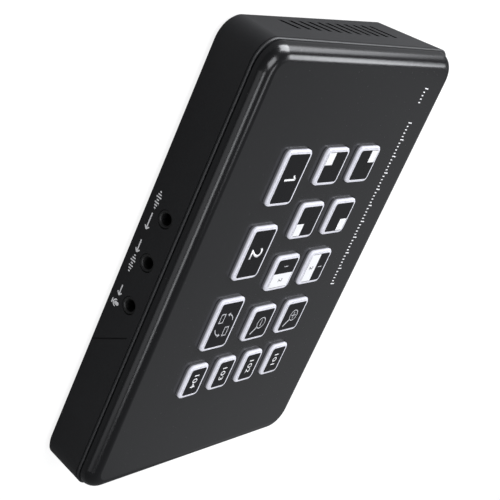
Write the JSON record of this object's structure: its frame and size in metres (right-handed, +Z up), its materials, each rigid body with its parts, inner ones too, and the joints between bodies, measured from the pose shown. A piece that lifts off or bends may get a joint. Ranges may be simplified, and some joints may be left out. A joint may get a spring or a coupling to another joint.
{
  "type": "video mixer",
  "caption": "Desktop video mixer with a sloping panel of lit square push keys, slotted ends, audio jacks on the front and video sockets in a recess at the rear",
  "frame": {"origin": "on the table under the middle of the console's outline", "axes": "+X along the width to the right, +Y to the rear, +Z up from the table"},
  "size_m": [0.15, 0.1055, 0.0272],
  "materials": {
    "shell_gloss": "glossy moulded plastic",
    "housing_matte": "fine spark texture",
    "key_milky": "translucent milky plastic",
    "key_dark": "smooth satin",
    "board_green": "solder resist on glass fibre laminate",
    "black_plastic": "moulded",
    "lamp_white": "clear resin",
    "plated_steel": "nickel plated",
    "screw_steel": "zinc plated",
    "sink_aluminium": "anodised",
    "chip_black": "moulded epoxy",
    "can_aluminium": "bright drawn",
    "foot_rubber": "soft matte"
  },
  "bodies": {
    "console": {"top_shell": "shell_gloss", "base_housing": "housing_matte", "key_switches": "black_plastic", "key_lamps": "lamp_white", "key_board": "board_green", "key_board_screws": "screw_steel", "main_board": "board_green", "main_board_screws": "screw_steel", "case_screws": "screw_steel", "rubber_feet": "foot_rubber", "line_output_jack": "black_plastic", "line_input_jack": "black_plastic", "microphone_jack": "black_plastic", "video_output_socket": "plated_steel", "video_input_socket_1": "plated_steel", "video_input_socket_2": "plated_steel", "power_socket": "plated_steel", "data_socket": "plated_steel", "socket_tongues": "black_plastic", "video_processor": "chip_black", "heat_sink": "sink_aluminium", "memory_chips": "chip_black", "capacitors": "can_aluminium", "board_link": "black_plastic"},
    "key_inset_top_left": {"key_cap_inset_top_left": "key_milky", "key_face_inset_top_left": "key_dark"},
    "key_inset_top_right": {"key_cap_inset_top_right": "key_milky", "key_face_inset_top_right": "key_dark"},
    "key_split_stacked": {"key_cap_split_stacked": "key_milky", "key_face_split_stacked": "key_dark"},
    "key_zoom_in": {"key_cap_zoom_in": "key_milky", "key_face_zoom_in": "key_dark"},
    "key_inset_bottom_left": {"key_cap_inset_bottom_left": "key_milky", "key_face_inset_bottom_left": "key_dark"},
    "key_inset_bottom_right": {"key_cap_inset_bottom_right": "key_milky", "key_face_inset_bottom_right": "key_dark"},
    "key_split_beside": {"key_cap_split_beside": "key_milky", "key_face_split_beside": "key_dark"},
    "key_zoom_out": {"key_cap_zoom_out": "key_milky", "key_face_zoom_out": "key_dark"},
    "key_source_1": {"key_cap_source_1": "key_milky", "key_face_source_1": "key_dark"},
    "key_source_2": {"key_cap_source_2": "key_milky", "key_face_source_2": "key_dark"},
    "key_swap": {"key_cap_swap": "key_milky", "key_face_swap": "key_dark"},
    "key_audio_1": {"key_cap_audio_1": "key_milky", "key_face_audio_1": "key_dark"},
    "key_audio_2": {"key_cap_audio_2": "key_milky", "key_face_audio_2": "key_dark"},
    "key_audio_3": {"key_cap_audio_3": "key_milky", "key_face_audio_3": "key_dark"},
    "key_audio_4": {"key_cap_audio_4": "key_milky", "key_face_audio_4": "key_dark"}
  },
  "joints": [
    {"name": "press_inset_top_left", "type": "slide", "parent": "console", "child": "key_inset_top_left", "axis": [0, 0.0585, -0.9983], "range_m": [0, 0.0008], "stiffness_N_per_m": 800},
    {"name": "press_inset_top_right", "type": "slide", "parent": "console", "child": "key_inset_top_right", "axis": [0, 0.0585, -0.9983], "range_m": [0, 0.0008], "stiffness_N_per_m": 800},
    {"name": "press_split_stacked", "type": "slide", "parent": "console", "child": "key_split_stacked", "axis": [0, 0.0585, -0.9983], "range_m": [0, 0.0008], "stiffness_N_per_m": 800},
    {"name": "press_zoom_in", "type": "slide", "parent": "console", "child": "key_zoom_in", "axis": [0, 0.0585, -0.9983], "range_m": [0, 0.0008], "stiffness_N_per_m": 800},
    {"name": "press_inset_bottom_left", "type": "slide", "parent": "console", "child": "key_inset_bottom_left", "axis": [0, 0.0585, -0.9983], "range_m": [0, 0.0008], "stiffness_N_per_m": 800},
    {"name": "press_inset_bottom_right", "type": "slide", "parent": "console", "child": "key_inset_bottom_right", "axis": [0, 0.0585, -0.9983], "range_m": [0, 0.0008], "stiffness_N_per_m": 800},
    {"name": "press_split_beside", "type": "slide", "parent": "console", "child": "key_split_beside", "axis": [0, 0.0585, -0.9983], "range_m": [0, 0.0008], "stiffness_N_per_m": 800},
    {"name": "press_zoom_out", "type": "slide", "parent": "console", "child": "key_zoom_out", "axis": [0, 0.0585, -0.9983], "range_m": [0, 0.0008], "stiffness_N_per_m": 800},
    {"name": "press_source_1", "type": "slide", "parent": "console", "child": "key_source_1", "axis": [0, 0.0585, -0.9983], "range_m": [0, 0.0008], "stiffness_N_per_m": 800},
    {"name": "press_source_2", "type": "slide", "parent": "console", "child": "key_source_2", "axis": [0, 0.0585, -0.9983], "range_m": [0, 0.0008], "stiffness_N_per_m": 800},
    {"name": "press_swap", "type": "slide", "parent": "console", "child": "key_swap", "axis": [0, 0.0585, -0.9983], "range_m": [0, 0.0008], "stiffness_N_per_m": 800},
    {"name": "press_audio_1", "type": "slide", "parent": "console", "child": "key_audio_1", "axis": [0, 0.0585, -0.9983], "range_m": [0, 0.0008], "stiffness_N_per_m": 800},
    {"name": "press_audio_2", "type": "slide", "parent": "console", "child": "key_audio_2", "axis": [0, 0.0585, -0.9983], "range_m": [0, 0.0008], "stiffness_N_per_m": 800},
    {"name": "press_audio_3", "type": "slide", "parent": "console", "child": "key_audio_3", "axis": [0, 0.0585, -0.9983], "range_m": [0, 0.0008], "stiffness_N_per_m": 800},
    {"name": "press_audio_4", "type": "slide", "parent": "console", "child": "key_audio_4", "axis": [0, 0.0585, -0.9983], "range_m": [0, 0.0008], "stiffness_N_per_m": 800}
  ]
}
